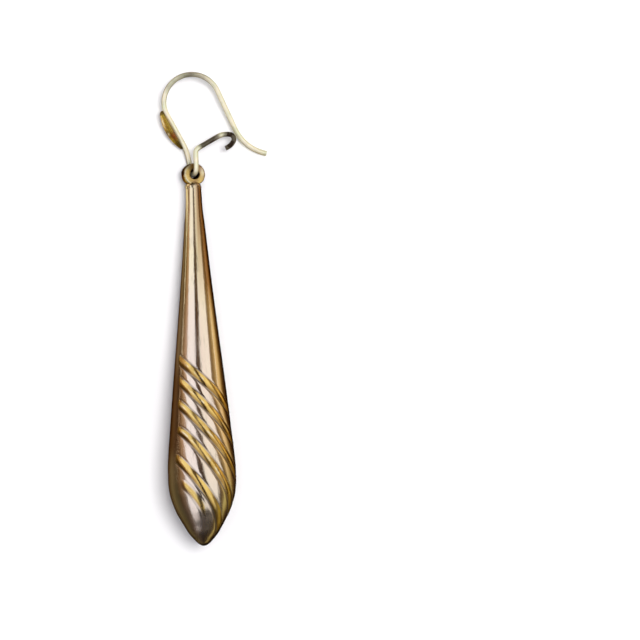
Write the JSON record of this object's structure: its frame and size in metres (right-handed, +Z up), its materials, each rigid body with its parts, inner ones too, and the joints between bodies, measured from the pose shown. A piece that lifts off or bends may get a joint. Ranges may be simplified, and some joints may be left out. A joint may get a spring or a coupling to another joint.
{
  "type": "dangle earring",
  "caption": "Long slender torpedo-shaped drop with slanting ribs, soldered to a thick ring that hangs on a bent ear wire with a leaf plate and a hooked catch.",
  "frame": {"origin": "centre of the bounding box on the surface that the earring lies on", "axes": "+Y runs along the drop from its tip towards the ear wire, +X across it towards the cut end of the wire's tail, +Z up from the surface"},
  "size_m": [0.0154, 0.0666, 0.0099],
  "materials": {
    "drop": "polished rose to yellow gold, darker in the recesses beside the ribs",
    "ear_wire": "polished pale yellow gold wire with a deeper yellow leaf plate"
  },
  "bodies": {
    "root": {"drop": "drop", "ear_wire": "ear_wire"}
  },
  "joints": []
}
